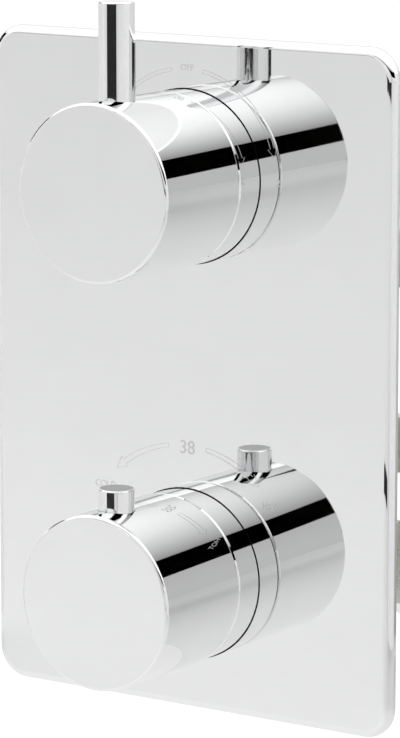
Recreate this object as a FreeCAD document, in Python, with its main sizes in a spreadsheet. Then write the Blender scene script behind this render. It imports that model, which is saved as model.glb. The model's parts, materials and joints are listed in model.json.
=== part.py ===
import FreeCAD, Part

import math
import os
import re

import Sketcher

# Concealed thermostatic shower valve: a wall plate with two round controls, and the cast body
# with both cartridges, the check valves and the springs that sit in the wall behind it.
#
# Frame: origin at the middle of the body's fixing holes, on the plane that is screwed to the
# building. +Z is up, the controls face -Y, +X is to the right as seen by the user.
# Millimetres. "Along" always means along Y, "across" along X.

Vector = FreeCAD.Vector

# ---------------------------------------------------------------- driving sizes
SIZES = {
    # wall plate
    "plate_width": 148.0,
    "plate_margin": 43.0,  # from a control's axis to the plate's top or bottom edge
    "plate_thickness": 3.5,
    "plate_corner": 10.0,  # radius of the plate's four corners
    "plate_edge": 2.6,  # radius of the rounded front edge
    "plate_rim": 3.0,  # rim left round the recess in the back
    "plate_recess": 1.2,  # depth of that recess
    "plate_gap": 0.3,  # shadow gap between plate and sleeve
    "seal_clearance": 0.3,
    "grommet_width": 2.2,
    "grommet_depth": 2.0,
    # layout
    "station_spacing": 124.0,  # between the two controls
    "wall_depth": 76.0,  # fixing plane to finished wall
    # sleeves
    "sleeve_diameter": 53.6,
    "sleeve_wall": 1.5,
    "sleeve_reach": 10.7,  # in front of the plate
    "sleeve_chamfer": 0.4,
    # knobs
    "knob_diameter": 54.0,
    "knob_length": 38.3,
    "knob_gap": 0.5,  # between knob and sleeve
    "knob_edge": 1.0,  # radius of the front edge
    "knob_rear_edge": 0.6,  # radius of the rear edge
    "knob_wall": 3.5,
    "knob_front_wall": 5.0,
    "lip_length": 2.2,  # rear lip, hidden in the sleeve
    "lip_clearance": 0.4,
    "lip_wall": 1.4,
    "hub_diameter": 22.0,
    "hub_length": 21.0,
    # pins on the knobs
    "pin_diameter": 11.0,
    "lever_setback": 13.0,  # pin's axis behind the knob's front
    "button_setback": 12.0,
    "pin_edge": 0.5,
    "lever_height": 29.0,  # above the knob
    "pin_seat": 1.5,  # depth of the pin's flat seat in the knob
    "pin_boss": 18.0,  # diameter of the boss under the lever pin
    "stud_diameter": 6.0,
    "stud_length": 10.0,
    # temperature override button
    "button_height": 6.5,  # above the knob
    "button_travel": 3.0,
    "button_clearance": 0.15,
    "button_collar": 12.6,
    "collar_thickness": 1.2,
    "collar_drop": 4.8,  # collar's top below the knob's surface
    "button_shank": 7.0,
    "shank_length": 1.6,
    "button_stem": 5.0,
    "stem_length": 7.4,
    "eye_diameter": 10.8,
    "key_thickness": 2.4,
    "key_width": 6.0,
    "key_reach": 18.0,  # eye's middle to the key's nose
    "spring_pocket": 3.0,  # depth of the spring's seat in the hub
    "button_spring_diameter": 9.0,
    "button_spring_wire": 0.8,
    # spline and grub screws
    "insert_diameter": 12.0,
    "insert_length": 17.0,
    "spline_diameter": 9.6,
    "spline_teeth": 12,
    "spline_depth": 0.8,
    "spline_length": 16.0,
    "fit_gap": 0.05,  # radial, fixed parts that plug together
    "running_gap": 0.05,  # radial, turning and sliding parts
    "grub_diameter": 5.0,
    "grub_length": 4.6,
    "grub_socket": 2.5,
    "grub_setback": 16.0,  # behind the knob's front
    # cartridge mouth, common to both stations (depths are from the fixing plane)
    "mouth_depth": 68.0,
    "mouth_bore": 42.0,
    "mouth_wall": 4.2,
    "seat_depth": 50.0,  # shoulder that carries the cartridge flange
    "flange_thickness": 2.0,
    "flange_diameter": 41.0,
    "body_collar": 57.0,
    "collar_length": 5.0,
    "nut_thread": 14.0,
    "nut_hex": 34.0,  # across flats
    "nut_hex_length": 6.0,
    "nut_bore": 24.4,
    "neck_diameter": 24.0,
    "neck_bore": 10.0,
    "oring_section": 2.4,
    # thermostatic station
    "thermo_bore": 38.2,
    "floor_depth": 6.0,
    "housing_length": 36.0,
    "drive_bore": 24.0,
    "slide_bore": 27.0,
    "cold_seat": 12.8,  # shoulder to the cold seat
    "slot_length": 2.7,
    "slot_width": 7.0,
    "slot_rows": 4,
    "annulus_diameter": 33.0,
    "cold_annulus": 9.0,  # shoulder to its start
    "cold_annulus_length": 7.5,
    "hot_annulus": 21.1,
    "hot_annulus_length": 7.9,
    "seal_one": 4.5,  # O-rings, behind the shoulder
    "seal_two": 18.8,
    "seal_three": 32.4,
    "thermo_neck_reach": 7.3,  # neck's end in front of the knob's rear edge
    "base_start": 23.7,  # hot seat, behind the shoulder
    "base_bore": 24.0,
    "spring_shoulder": 34.0,
    "capsule_bore": 15.0,
    "base_diameter": 35.0,
    "base_floor": 1.5,
    "base_holes": 6,
    "base_hole": 4.6,
    # drive nut and over-travel spring
    "key_slot": 4.6,
    "nut_start": 2.5,  # drive nut, behind the shoulder
    "nut_web": 3.0,
    "nut_length": 10.0,
    "nut_wall": 2.2,
    "nut_key": 4.0,
    "nut_key_length": 6.5,
    "drive_thread": 8.0,
    "drive_thread_length": 7.3,
    "spindle_flange": 17.0,
    "spindle_flange_length": 2.4,
    "plunger_thickness": 1.5,
    "plunger_start": 9.7,
    "clip_thickness": 0.8,
    "overtravel_wire": 1.0,
    # wax element and shuttle
    "shuttle_start": 14.0,
    "shuttle_length": 8.5,
    "shuttle_wall": 1.4,
    "shuttle_web": 2.0,
    "shuttle_hub": 17.2,
    "shuttle_hub_length": 4.5,
    "element_diameter": 14.0,
    "element_start": 14.5,
    "element_length": 11.5,
    "element_collar": 18.0,
    "element_guide": 8.0,
    "capsule_diameter": 11.0,
    "capsule_length": 9.0,
    "piston_diameter": 3.0,
    "piston_length": 8.3,
    "return_wire": 1.0,
    "return_diameter": 17.8,
    # stop ring
    "stop_ring_diameter": 45.8,
    "stop_ring_wall": 1.4,
    "stop_ring_web": 2.6,
    "stop_ring_rim": 11.0,
    "stop_lug": 1.5,
    "stop_lug_width": 4.0,
    "stop_angle": 22.0,  # lug's middle, clockwise from the top
    # diverter station
    "diverter_bore": 34.2,
    "diverter_floor": 24.0,  # from the fixing plane
    "diverter_neck_reach": 2.7,  # neck's end behind the knob's rear edge
    "bonnet_length": 10.0,
    "disc_diameter": 26.0,
    "disc_thickness": 4.0,
    "disc_gap": 0.3,
    "driver_diameter": 25.0,
    "driver_thickness": 4.0,
    "driver_lug": 5.0,
    "driver_lug_length": 1.6,
    "seal_thickness": 2.0,
    "port_pitch": 8.5,  # outlet ports from the disc's middle
    "disc_port": 6.6,
    "centre_port": 7.6,
    "carrier_window": 9.0,
    # cast body
    "port_depth": 31.0,  # pipe axes, from the fixing plane
    "port_span": 124.0,  # face to face, left to right
    "port_boss": 27.0,
    "port_hex": 30.0,
    "port_hex_length": 12.0,
    "pipe_thread": 18.6,
    "pipe_thread_length": 14.0,
    "valve_bore": 15.2,  # behind the thread
    "chamber_drill": 7.0,
    "drill_offset": 5.0,
    "channel_depth": 12.0,  # riser axis, from the fixing plane
    "channel_diameter": 22.0,
    "channel_bore": 13.0,
    "channel_drill": 8.4,
    "back_edge": 4.0,
    "bar_width": 92.0,
    "bar_height": 18.0,
    "bar_thickness": 6.0,
    "bar_spacing": 60.0,
    "screw_spacing": 72.0,
    "screw_hole": 5.5,
    "screw_pad": 13.0,  # machined pad under each screw's head
    "screw_pad_height": 1.0,
    "rib_thickness": 5.0,  # ribs that brace the fixing bars
    "rib_depth": 14.0,
    # check valves and filters
    "check_length": 16.0,
    "check_bore": 11.2,
    "check_seat": 8.4,
    "check_seat_length": 3.0,
    "check_play": 0.2,  # end play in front of the valve
    "guide_length": 2.4,
    "guide_hole": 3.2,
    "poppet_diameter": 10.2,
    "poppet_thickness": 1.6,
    "poppet_stem": 3.0,
    "check_travel": 2.5,
    "check_wire": 0.6,
    "check_spring_diameter": 7.0,
    "filter_thickness": 0.8,
    "filter_rim": 1.5,
    "filter_holes": 6,
    "filter_hole": 2.6,
}

# Places and radii that follow from the sizes above.
PLACES = {
    "upper": "station_spacing / 2",
    "lower": "-station_spacing / 2",
    "wall": "-wall_depth",
    "plate_front": "wall - plate_thickness",
    "plate_height": "station_spacing + 2 * plate_margin",
    "seal_width": "plate_margin - plate_rim - sleeve_radius - grommet_width - 1",
    "sleeve_front": "plate_front - sleeve_reach",
    "sleeve_radius": "sleeve_diameter / 2",
    "sleeve_inside": "sleeve_radius - sleeve_wall",
    "knob_rear": "sleeve_front - knob_gap",
    "knob_front": "knob_rear - knob_length",
    "knob_radius": "knob_diameter / 2",
    "knob_inside": "knob_radius - knob_wall",
    "knob_floor": "knob_front + knob_front_wall",
    "hub_radius": "hub_diameter / 2",
    "hub_end": "knob_floor + hub_length",
    "lever_axis": "knob_front + lever_setback",
    "button_axis": "knob_front + button_setback",
    "pin_radius": "pin_diameter / 2",
    "insert_start": "knob_floor + 1",
    "spline_start": "insert_start + 2",
    "grub_axis": "knob_front + grub_setback",
    "mouth": "-mouth_depth",
    "seat": "-seat_depth",
    "floor": "-floor_depth",
    "mouth_radius": "mouth_bore / 2",
    "mouth_outside": "mouth_radius + mouth_wall",
    "nut_back": "seat - flange_thickness",
    "nut_shoulder": "nut_back - nut_thread",
    "nut_front": "nut_shoulder - nut_hex_length",
    "thermo_neck": "knob_rear - thermo_neck_reach",
    "diverter_neck": "knob_rear + diverter_neck_reach",
    "housing_end": "seat + housing_length",
    "thermo_radius": "thermo_bore / 2 - fit_gap * 2",
    "groove_half": "oring_section / 2 + 0.1",
    "groove_depth": "oring_section * 2 / 3",
    "slide_radius": "slide_bore / 2",
    "drive_radius": "drive_bore / 2",
    "spindle_radius": "neck_bore / 2 - running_gap",
    "spindle_flange_start": "seat - flange_thickness + 0.3",
    "base_front": "seat + base_start",
    "nut_outside": "drive_radius - 0.3",
    "nut_begin": "seat + nut_start",
    "nut_cup": "nut_begin + nut_web",
    "nut_end": "nut_begin + nut_length",
    "plunger_front": "seat + plunger_start",
    "plunger_back": "plunger_front + plunger_thickness",
    "shuttle_front": "seat + shuttle_start",
    "shuttle_back": "shuttle_front + shuttle_length",
    "element_front": "seat + element_start",
    "element_back": "element_front + element_length",
    "port_plane": "-port_depth",
    "port_face": "port_span / 2",
    "valve_start": "port_face - pipe_thread_length",
    "check_front": "valve_start - filter_thickness - check_play",
    "check_back": "check_front - check_length",
    "guide_front": "check_back + guide_length",
    "valve_bore_end": "check_back - 3",
    "seat_face": "check_front - check_seat_length",
    "channel_axis": "-channel_depth",
    "diverter_radius": "diverter_bore / 2 - fit_gap * 2",
    "bonnet_end": "seat + bonnet_length",
    "cavity_start": "bonnet_end - disc_thickness - driver_thickness - 0.3",
    "disc_front": "bonnet_end - disc_thickness",
    "carrier_end": "-diverter_floor - seal_thickness",
    "disc_pocket": "disc_diameter / 2 + disc_gap",
    "button_top": "knob_radius + button_height",
    "collar_top": "knob_radius - collar_drop",
    "collar_bottom": "collar_top - collar_thickness",
    "key_top": "collar_bottom - shank_length",
    "key_bottom": "key_top - key_thickness",
    "stop_web_back": "knob_rear + 3.7",
    "stop_web_front": "stop_web_back - stop_ring_web",
    "stop_rim_front": "stop_web_back - stop_ring_rim - stop_ring_web",
}

WORD = re.compile(r"[A-Za-z_]\w*")


def bound(text):
    """The expression for a size or place, with every name led back to the sheet's cells."""

    def cell(match):
        word = match.group(0)
        if word in SIZES:
            return "Sizes." + word
        if word in PLACES:
            return "(" + bound(PLACES[word]) + ")"
        return word

    return WORD.sub(cell, str(text))


doc = FreeCAD.newDocument("shower_valve")
sheet = doc.addObject("Spreadsheet::Sheet", "Sizes")
for row, (name, value) in enumerate(SIZES.items(), start=1):
    sheet.set(f"A{row}", name)
    sheet.set(f"B{row}", str(value))
    sheet.setAlias(f"B{row}", name)
doc.recompute()


def number(text):
    """The present value of an expression, in millimetres."""
    return float(sheet.evalExpression(bound(text)))


# ---------------------------------------------------------------- helpers
nodes = {}
ALONG = {
    "x": FreeCAD.Rotation(Vector(0, 0, 1), Vector(1, 0, 0)),
    "-x": FreeCAD.Rotation(Vector(0, 0, 1), Vector(-1, 0, 0)),
    "y": FreeCAD.Rotation(Vector(0, 0, 1), Vector(0, 1, 0)),
    "z": FreeCAD.Rotation(),
    "-z": FreeCAD.Rotation(Vector(0, 0, 1), Vector(0, 0, -1)),
}


def keep(label, item):
    """Names a finished sub-part: its label is its node's name."""
    item.Label = label
    nodes[label] = item
    return item


def place(item, at, rotation=None):
    """Binds a Part object's place to three expressions."""
    item.Placement = FreeCAD.Placement(Vector(), rotation or FreeCAD.Rotation())
    for axis, where in zip("xyz", at):
        item.setExpression("Placement.Base." + axis, bound(where))
    return item


def origin_plane(body, role):
    return next(f for f in body.Origin.OriginFeatures if f.Role == role)


def outline(body, role, corners):
    """A closed sketch through corners, each a pair of expressions bound to the sheet."""
    sketch = body.newObject("Sketcher::SketchObject", body.Name + "_outline")
    sketch.AttachmentSupport = [(origin_plane(body, role), "")]
    sketch.MapMode = "FlatFace"
    spots = [Vector(number(a), number(b), 0) for a, b in corners]
    for index, spot in enumerate(spots):
        sketch.addGeometry(Part.LineSegment(spot, spots[(index + 1) % len(spots)]))
    for index in range(len(spots)):
        following = (index + 1) % len(spots)
        sketch.addConstraint(Sketcher.Constraint("Coincident", index, 2, following, 1))
    for index, (first, second) in enumerate(corners):
        for kind, text, axis in (("DistanceX", first, -2), ("DistanceY", second, -1)):
            if text == "0":
                sketch.addConstraint(Sketcher.Constraint("PointOnObject", index, 1, axis))
                continue
            distance = Sketcher.Constraint(kind, -1, 1, index, 1, number(text))
            row = sketch.addConstraint(distance)
            sketch.setExpression(f"Constraints[{row}]", bound(text))
    return sketch


def turned(label, height, profile, across=None):
    """A turned part: half profile of (place along its axis, radius), revolved in full.

    The axis is parallel to Y at the given height, or with across to X, from there outwards.
    """
    body = doc.addObject("PartDesign::Body", label)
    sketch = outline(body, "YZ_Plane" if across is None else "XZ_Plane", profile)
    turn = body.newObject("PartDesign::Revolution", label + "_turned")
    turn.Profile = sketch
    turn.ReferenceAxis = (sketch, ["H_Axis"])
    turn.Angle = 360
    body.setExpression("Placement.Base.z", bound(height))
    if across is not None:
        body.setExpression("Placement.Base.y", bound(across))
    doc.recompute()
    return body


def round_edges(body, kind, size, chosen):
    """Adds a PartDesign Fillet or Chamfer to the edges that the test picks."""
    tip = body.Tip
    edges = tip.Shape.Edges
    names = [f"Edge{i}" for i, edge in enumerate(edges, start=1) if chosen(edge)]
    feature = body.newObject("PartDesign::" + kind, body.Name + "_" + kind.lower())
    feature.Base = (tip, names)
    feature.setExpression("Radius" if kind == "Fillet" else "Size", bound(size))
    doc.recompute()
    return body


def circle_at(where, radius, axis="y"):
    """A test for the round edge at one place along an axis, of one radius."""
    place_there, size = number(where), number(radius)

    def chosen(edge):
        if not isinstance(edge.Curve, Part.Circle):
            return False
        middle = getattr(edge.Curve.Center, axis)
        return abs(middle - place_there) < 1e-4 and abs(edge.Curve.Radius - size) < 1e-4

    return chosen


def rod(label, diameter, length, at, axis):
    """A Part cylinder: diameter, length and start point are expressions."""
    tool = doc.addObject("Part::Cylinder", label)
    tool.setExpression("Radius", bound(f"({diameter}) / 2"))
    tool.setExpression("Height", bound(length))
    return place(tool, at, ALONG[axis] if isinstance(axis, str) else axis)


def block(label, sizes, middle):
    """A Part box given by its three sizes and its middle point."""
    tool = doc.addObject("Part::Box", label)
    for side, size in zip(("Length", "Width", "Height"), sizes):
        tool.setExpression(side, bound(size))
    return place(tool, [f"({where}) - ({size}) / 2" for where, size in zip(middle, sizes)])


def hexagon(label, flats, length, at, axis):
    tool = doc.addObject("Part::Prism", label)
    tool.Polygon = 6
    tool.setExpression("Circumradius", bound(f"({flats}) / 2 / cos(30 deg)"))
    tool.setExpression("Height", bound(length))
    return place(tool, at, ALONG[axis])


def ring_of_rods(label, count, diameter, length, radius, start, height, turn=0):
    """Rods parallel to Y, evenly spaced on a circle round a station's axis."""
    rods = []
    for index in range(count):
        angle = turn + 360 * index / count
        at = (f"({radius}) * sin({angle} deg)", start, f"{height} + ({radius}) * cos({angle} deg)")
        rods.append(rod(f"{label}_{index}", diameter, length, at, "y"))
    return rods


def spokes(label, count, diameter, inner, length, along, height, turn=0):
    """Rods that point away from a station's axis, evenly spaced round it."""
    rods = []
    for index in range(count):
        angle = turn + 360 * index / count
        at = (f"({inner}) * sin({angle} deg)", along, f"{height} + ({inner}) * cos({angle} deg)")
        away = FreeCAD.Rotation(Vector(0, 1, 0), angle)
        rods.append(rod(f"{label}_{index}", diameter, length, at, away))
    return rods


def joined(label, shapes):
    fuse = doc.addObject("Part::MultiFuse", label)
    fuse.Shapes = shapes
    fuse.Refine = True
    return fuse


def cut(label, base, tools):
    """The base less its tools."""
    tool = tools[0] if len(tools) == 1 else joined(label + "_tools", tools)
    result = doc.addObject("Part::Cut", label + "_cut")
    result.Base = base
    result.Tool = tool
    result.Refine = True
    doc.recompute()
    return result


def compound(label, shapes):
    group = doc.addObject("Part::Compound", label + "_group")
    group.Links = shapes
    doc.recompute()
    return group


# ---------------------------------------------------------------- springs
def bend(start, start_way, end, end_way):
    """Two arcs that join two points of a helix and share its direction at both."""
    chord = end - start
    ways = start_way + end_way
    spread = 2 * (start_way.dot(end_way) - 1)
    half = chord.dot(ways)
    reach = (-half + math.sqrt(half**2 - spread * chord.dot(chord))) / spread
    reach = abs(reach)
    first, second = start + start_way * reach, end - end_way * reach
    meeting = (first + second) / 2
    arcs = []
    for near, corner, far in ((start, first, meeting), (meeting, second, end)):
        middle = (near + far) / 2
        half_chord = (far - near).Length / 2
        quarter = math.acos(min(1.0, half_chord / (corner - near).Length)) / 2
        top = middle + (corner - middle).normalize() * half_chord * math.tan(quarter)
        arcs.append(Part.Arc(near, top, far).toShape())
    return arcs


def least_gap(edges, wire):
    """The least gap of a coiled wire to itself, measured on points along its middle line."""
    per_edge = 30
    points = [point for edge in edges for point in edge.discretize(per_edge)]
    most_of_a_turn = per_edge * 3
    nearest = min(
        (far - near).Length
        for index, near in enumerate(points)
        for far in points[index + most_of_a_turn :]
    )
    return nearest - wire


def coil(label, middle_radius, wire, turns, length, at, rotation):
    """A compression spring as one unbroken tube, wound in half turns about its own Z axis."""
    pitch = (length - wire) / turns
    steps = int(round(turns * 2))
    rise = pitch / 2 / math.pi

    def spot(angle):
        x, y = middle_radius * math.cos(angle), middle_radius * math.sin(angle)
        return Vector(x, y, wire / 2 + rise * angle)

    def way(angle):
        return Vector(-middle_radius * math.sin(angle), middle_radius * math.cos(angle), rise).normalize()

    edges = []
    for step in range(steps):
        here, there = math.pi * step, math.pi * (step + 1)
        edges += bend(spot(here), way(here), spot(there), way(there))
    circle = Part.Wire(Part.makeCircle(wire / 2, spot(0), way(0)))
    tube = Part.Wire(edges).makePipeShell([circle], True, False)
    print(f"{label}: least gap between turns {least_gap(edges, wire):.2f} mm")
    spring = doc.addObject("Part::Feature", label)
    spring.Shape = tube
    spring.Placement = FreeCAD.Placement(at, rotation)
    return keep(label, spring)


# ---------------------------------------------------------------- wall plate and its seals
def slab(label, width, height, corner, thickness, back):
    """A rounded rectangle, padded forwards from its back plane."""
    body = doc.addObject("PartDesign::Body", label)
    sketch = body.newObject("Sketcher::SketchObject", label + "_outline")
    sketch.AttachmentSupport = [(origin_plane(body, "XZ_Plane"), "")]
    sketch.MapMode = "FlatFace"
    half_width, half_height = number(width) / 2, number(height) / 2
    corners = [(-half_width, -half_height), (half_width, -half_height)]
    corners += [(half_width, half_height), (-half_width, half_height)]
    spots = [Vector(x, y, 0) for x, y in corners]
    for index, spot in enumerate(spots):
        sketch.addGeometry(Part.LineSegment(spot, spots[(index + 1) % 4]))
    for index in range(4):
        sketch.addConstraint(Sketcher.Constraint("Coincident", index, 2, (index + 1) % 4, 1))
        side = "Horizontal" if index % 2 == 0 else "Vertical"
        sketch.addConstraint(Sketcher.Constraint(side, index))
    sketch.addConstraint(Sketcher.Constraint("Symmetric", 0, 1, 2, 1, -1, 1))
    wide = sketch.addConstraint(Sketcher.Constraint("DistanceX", 0, 1, 0, 2, half_width * 2))
    tall = sketch.addConstraint(Sketcher.Constraint("DistanceY", 1, 1, 1, 2, half_height * 2))
    sketch.setExpression(f"Constraints[{wide}]", bound(width))
    sketch.setExpression(f"Constraints[{tall}]", bound(height))
    pad = body.newObject("PartDesign::Pad", label + "_pad")
    pad.Profile = sketch
    pad.setExpression("Length", bound(thickness))
    body.setExpression("Placement.Base.y", bound(back))
    doc.recompute()
    return round_edges(body, "Fillet", corner, is_depth_edge)


def is_depth_edge(edge):
    ends = [vertex.Point for vertex in edge.Vertexes]
    return len(ends) == 2 and abs(ends[0].x - ends[1].x) + abs(ends[0].z - ends[1].z) < 1e-6


def make_plate():
    plate = slab("plate", "plate_width", "plate_height", "plate_corner", "plate_thickness", "wall")
    front = -number("plate_thickness")
    round_edges(
        plate, "Fillet", "plate_edge", lambda e: all(abs(v.Y - front) < 1e-6 for v in e.Vertexes)
    )
    sizes = ("plate_width - 2 * plate_rim", "plate_height - 2 * plate_rim")
    recess = slab("plate_recess_tool", *sizes, "plate_corner - plate_rim", "plate_recess", "wall")
    hole = "sleeve_diameter + 2 * plate_gap"
    seat = "sleeve_diameter + 2 * grommet_width + 0.2"
    seat_start = "wall - plate_recess - 1"
    tools = [recess]
    for name in ("upper", "lower"):
        start = ("0", "plate_front - 1", name)
        tools.append(rod(name + "_plate_hole", hole, "plate_thickness + 2", start, "y"))
        tools.append(rod(name + "_grommet_seat", seat, "plate_thickness", ("0", seat_start, name), "y"))
    keep("wall_plate", cut("wall_plate", plate, tools))


def make_plate_seals():
    outer = [f"{side} - 2 * (plate_rim + seal_clearance)" for side in ("plate_width", "plate_height")]
    inner = [f"{side} - 2 * (plate_rim + seal_width)" for side in ("plate_width", "plate_height")]
    strip = slab("seal_blank", *outer, "plate_corner - plate_rim - seal_clearance", "plate_recess", "wall")
    hole = slab("seal_hole", *inner, "2", "plate_recess", "wall")
    keep("plate_seal", cut("plate_seal", strip, [hole]))
    for name in ("upper", "lower"):
        front = "wall - plate_recess - 1"
        back = "wall - plate_recess - 1 + grommet_depth"
        outside = "sleeve_radius + grommet_width"
        profile = [(front, "sleeve_radius"), (front, outside), (back, outside), (back, "sleeve_radius")]
        keep(name + "_grommet", turned(name + "_grommet_body", name, profile))


# ---------------------------------------------------------------- sleeves and knobs
def make_sleeve(name):
    """The polished shroud that carries the plate and runs back over the body's mouth."""
    back = "seat"
    profile = [
        ("sleeve_front", "sleeve_inside"),
        ("sleeve_front", "sleeve_radius - sleeve_chamfer"),
        ("sleeve_front + sleeve_chamfer", "sleeve_radius"),
        (back, "sleeve_radius"),
        (back, "sleeve_inside"),
    ]
    keep(name + "_sleeve", turned(name + "_sleeve_body", name, profile))


def knob_blank(name):
    """The turned knob: hollow behind, with a central hub and a lip that enters the sleeve."""
    lip = "sleeve_inside - lip_clearance"
    lip_end = "knob_rear + lip_length"
    profile = [
        ("knob_front", "0"),
        ("knob_front", "knob_radius"),
        ("knob_rear", "knob_radius"),
        ("knob_rear", lip),
        (lip_end, lip),
        (lip_end, f"{lip} - lip_wall"),
        ("knob_rear", "knob_inside"),
        ("knob_floor", "knob_inside"),
        ("knob_floor", "hub_radius"),
        ("hub_end", "hub_radius"),
        ("hub_end", "insert_diameter / 2"),
        ("insert_start", "insert_diameter / 2"),
        ("insert_start", "0"),
    ]
    knob = turned(name + "_knob_blank", name, profile)
    round_edges(knob, "Fillet", "knob_edge", circle_at("knob_front", "knob_radius"))
    return round_edges(knob, "Fillet", "knob_rear_edge", circle_at("knob_rear", "knob_radius"))


def grub_tools(name):
    """The access hole through the wall and the tapped hole in the hub, from below."""
    below = ("0", "grub_axis", f"{name} - knob_radius - 1")
    access = rod(name + "_grub_access", "grub_diameter + 0.6", "knob_wall + 3", below, "z")
    hub = ("0", "grub_axis", f"{name} - hub_radius - 1")
    tapped = rod(name + "_grub_hole", "grub_diameter", "hub_radius - 3", hub, "z")
    return [access, tapped]


def make_upper_knob():
    """The lever knob: the pin stands on a flat seat and its stud is screwed into a boss."""
    top = "upper + knob_radius - pin_seat"
    boss_start = ("0", "lever_axis", "upper + hub_radius - 1")
    boss_length = "knob_inside - hub_radius + 2"
    boss = rod("upper_pin_boss", "pin_boss", boss_length, boss_start, "z")
    whole = joined("upper_knob_whole", [knob_blank("upper"), boss])
    seat = rod("upper_pin_seat", "pin_diameter", "pin_seat + 2", ("0", "lever_axis", top), "z")
    stud_start = ("0", "lever_axis", f"{top} - stud_length - 1")
    stud = rod("upper_stud_hole", "stud_diameter", "stud_length + 2", stud_start, "z")
    keep("upper_knob", cut("upper_knob", whole, [seat, stud] + grub_tools("upper")))


def make_lower_knob():
    """The temperature knob: a hole for the override button and a spring seat in the hub."""
    hole_size = "pin_diameter + 2 * button_clearance"
    hole_start = ("0", "button_axis", "lower + collar_top + 0.4")
    hole = rod("button_hole", hole_size, "collar_drop + 2", hole_start, "z")
    pocket_start = ("0", "button_axis", "lower + hub_radius - spring_pocket")
    pocket_size = "button_spring_diameter + 0.8"
    pocket = rod("spring_pocket_tool", pocket_size, "spring_pocket + 1", pocket_start, "z")
    keep("lower_knob", cut("lower_knob", knob_blank("lower"), [hole, pocket] + grub_tools("lower")))


def make_lever_pin():
    """The round lever pin with the stud that screws into the knob."""
    seat = "upper + knob_radius - pin_seat"
    length = "lever_height + pin_seat"
    shaft = rod("lever_shaft", "pin_diameter", length, ("0", "lever_axis", seat), "z")
    rounded = doc.addObject("Part::Fillet", "lever_shaft_rounded")
    rounded.Base = shaft
    doc.recompute()
    top = number("upper + knob_radius + lever_height")
    rounded.Edges = [(n, number("pin_edge"), number("pin_edge")) for n in edges_at_height(shaft, top)]
    stud_start = ("0", "lever_axis", f"{seat} - stud_length")
    stud = rod("lever_stud", "stud_diameter", "stud_length + 1", stud_start, "z")
    keep("lever_pin", joined("lever_pin_whole", [rounded, stud]))


def edges_at_height(item, height):
    """Numbers of the round edges whose middle lies at one height."""
    found = []
    for index, edge in enumerate(item.Shape.Edges, start=1):
        if isinstance(edge.Curve, Part.Circle) and abs(edge.Curve.Center.z - height) < 1e-4:
            found.append(index)
    return found


def make_override():
    """The button that frees the temperature stop, its sliding key and its spring."""
    levels = [
        ("cap", "pin_diameter", "collar_top", "button_top"),
        ("collar", "button_collar", "collar_bottom", "collar_top"),
        ("shank", "button_shank", "key_top", "collar_bottom"),
        ("stem", "button_stem", "key_bottom - (stem_length - key_thickness)", "key_top"),
    ]
    steps = []
    for part, diameter, low, high in levels:
        start = ("0", "button_axis", f"lower + {low}")
        steps.append(rod("button_" + part, diameter, f"({high}) - ({low})", start, "z"))
    rounded = doc.addObject("Part::Fillet", "button_cap_rounded")
    rounded.Base = steps[0]
    doc.recompute()
    top = number("lower + button_top")
    rounded.Edges = [(n, number("pin_edge"), number("pin_edge")) for n in edges_at_height(steps[0], top)]
    keep("override_button", joined("button_whole", [rounded] + steps[1:]))

    eye_start = ("0", "button_axis", "lower + key_bottom")
    eye = rod("key_eye", "eye_diameter", "key_thickness", eye_start, "z")
    middle = ("0", "button_axis + key_reach / 2", "lower + key_bottom + key_thickness / 2")
    arm = block("key_arm", ("key_width", "key_reach", "key_thickness"), middle)
    hole = rod("key_hole", "button_stem", "key_thickness", eye_start, "z")
    keep("stop_key", cut("stop_key", joined("key_whole", [eye, arm]), [hole]))

    wire = number("button_spring_wire")
    floor = number("hub_radius - spring_pocket")
    length = number("key_bottom") - floor
    at = Vector(0, number("button_axis"), number("lower") + floor)
    middle_radius = (number("button_spring_diameter") - wire) / 2
    coil("override_spring", middle_radius, wire, 4, length, at, ALONG["z"])


def spline_grooves(name, start):
    """Tools that cut the grooves between the spindle's teeth."""
    teeth = int(number("spline_teeth"))
    pitch = 360 / teeth
    radius = "spline_diameter / 2 + spline_depth / 2"
    width = "spline_diameter * pi / spline_teeth / 2"
    length = "spline_length + 1"
    at = f"{start} - 1"
    return ring_of_rods(name + "_groove", teeth, f"{width} * 1.3", length, radius, at, name, pitch / 2)


def make_knob_fixings(name):
    """The splined insert in the hub, and the grub screw that locks it."""
    inside = "spline_diameter / 2 + running_gap"
    end = "insert_start + insert_length"
    outside = "insert_diameter / 2"
    profile = [
        ("insert_start", "0"),
        ("insert_start", outside),
        (end, outside),
        (end, inside),
        ("spline_start - 0.5", inside),
        ("spline_start - 0.5", "0"),
    ]
    insert = turned(name + "_insert_blank", name, profile)
    keep(name + "_spline_insert", insert)
    start = ("0", "grub_axis", f"{name} - hub_radius - 0.4")
    screw = rod(name + "_screw_blank", "grub_diameter", "grub_length", start, "z")
    socket = hexagon(name + "_socket", "grub_socket", "grub_length / 2", start, "z")
    keep(name + "_grub_screw", cut(name + "_grub_screw", screw, [socket]))


# ---------------------------------------------------------------- parts common to both cartridges
def grooved(profile_front, places, surface):
    """Adds O-ring grooves to a turned part's outer line, given where each ring lies."""
    corners = list(profile_front)
    bottom = f"{surface} - groove_depth"
    for middle in places:
        corners += [
            (f"{middle} - groove_half", surface),
            (f"{middle} - groove_half", bottom),
            (f"{middle} + groove_half", bottom),
            (f"{middle} + groove_half", surface),
        ]
    return corners


def o_rings(label, height, middles, surface, bore):
    """Separate O-rings in their grooves, just clear of the bore that they seal."""
    rings = []
    for index, middle in enumerate(middles):
        ring = doc.addObject("Part::Torus", f"{label}_{index}")
        section = f"(({bore}) - running_gap - ({surface}) + groove_depth) / 2"
        ring.setExpression("Radius2", bound(section))
        ring.setExpression("Radius1", bound(f"({surface}) - groove_depth + {section}"))
        place(ring, ("0", middle, height), ALONG["y"])
        rings.append(ring)
    if len(rings) == 1:
        return keep(label, rings[0])
    return keep(label, compound(label, rings))


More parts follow.
